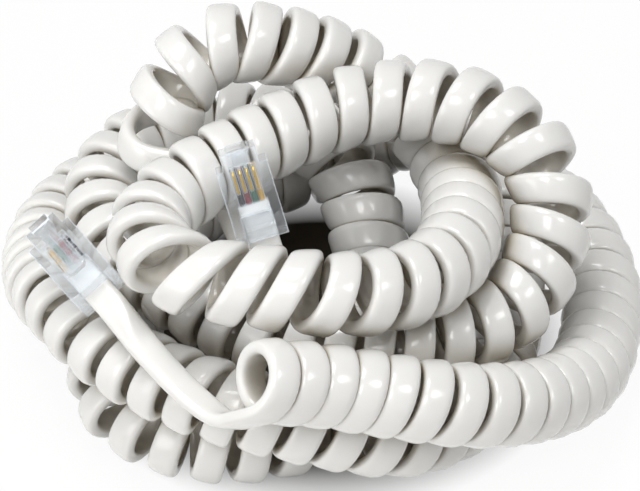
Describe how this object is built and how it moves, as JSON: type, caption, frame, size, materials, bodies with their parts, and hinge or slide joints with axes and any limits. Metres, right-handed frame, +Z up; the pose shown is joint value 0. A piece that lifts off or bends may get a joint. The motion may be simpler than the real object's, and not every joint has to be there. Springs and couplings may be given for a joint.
{
  "type": "telephone handset cord",
  "caption": "Coiled telephone handset cord lying in a loose heap, with a clear latching modular plug on a straight flat tail at each end, to join a handset to its base",
  "frame": {"origin": "middle of the heap's bounding box, on the floor that the heap lies on", "axes": "+Z up, the heap's shortest extent; the first tail, its plug and the front run lie toward -Y; +X to the right"},
  "size_m": [0.0994, 0.1065, 0.0497],
  "materials": {
    "cord_jacket": "ivory PVC jacket, smooth and glossy",
    "clear_plastic": "clear polycarbonate, faintly blue",
    "core_black": "black core insulation",
    "core_red": "red core insulation",
    "core_green": "green core insulation",
    "core_yellow": "yellow core insulation",
    "contact_gold": "gold-plated contact"
  },
  "bodies": {
    "root": {"curls_front": "cord_jacket", "run_back": "cord_jacket", "curls_left": "cord_jacket", "run_inner": "cord_jacket", "run_floor": "cord_jacket", "run_cross": "cord_jacket", "curls_second": "cord_jacket", "curls_top": "cord_jacket", "tail_a": "cord_jacket", "tail_b": "cord_jacket", "plug_a_housing": "clear_plastic", "plug_a_wedge": "clear_plastic", "plug_a_core_black": "core_black", "plug_a_core_red": "core_red", "plug_a_core_green": "core_green", "plug_a_core_yellow": "core_yellow", "plug_a_contact_1": "contact_gold", "plug_a_contact_2": "contact_gold", "plug_a_contact_3": "contact_gold", "plug_a_contact_4": "contact_gold", "plug_b_housing": "clear_plastic", "plug_b_wedge": "clear_plastic", "plug_b_core_black": "core_black", "plug_b_core_red": "core_red", "plug_b_core_green": "core_green", "plug_b_core_yellow": "core_yellow", "plug_b_contact_1": "contact_gold", "plug_b_contact_2": "contact_gold", "plug_b_contact_3": "contact_gold", "plug_b_contact_4": "contact_gold"},
    "latch_a": {"plug_a_latch": "clear_plastic"},
    "latch_b": {"plug_b_latch": "clear_plastic"}
  },
  "joints": [
    {"name": "latch_a_press", "type": "hinge", "parent": "root", "child": "latch_a", "pos_m": [-0.04077, -0.01569, 0.03524], "axis": [-0.7423, -0.446, -0.5], "range_deg": [-10, 0], "stiffness_Nm_per_rad": 0.02},
    {"name": "latch_b_press", "type": "hinge", "parent": "root", "child": "latch_b", "pos_m": [-0.01204, -0.00924, 0.04428], "axis": [0.9565, 0.1859, 0.225], "range_deg": [-10, 0], "stiffness_Nm_per_rad": 0.02}
  ]
}
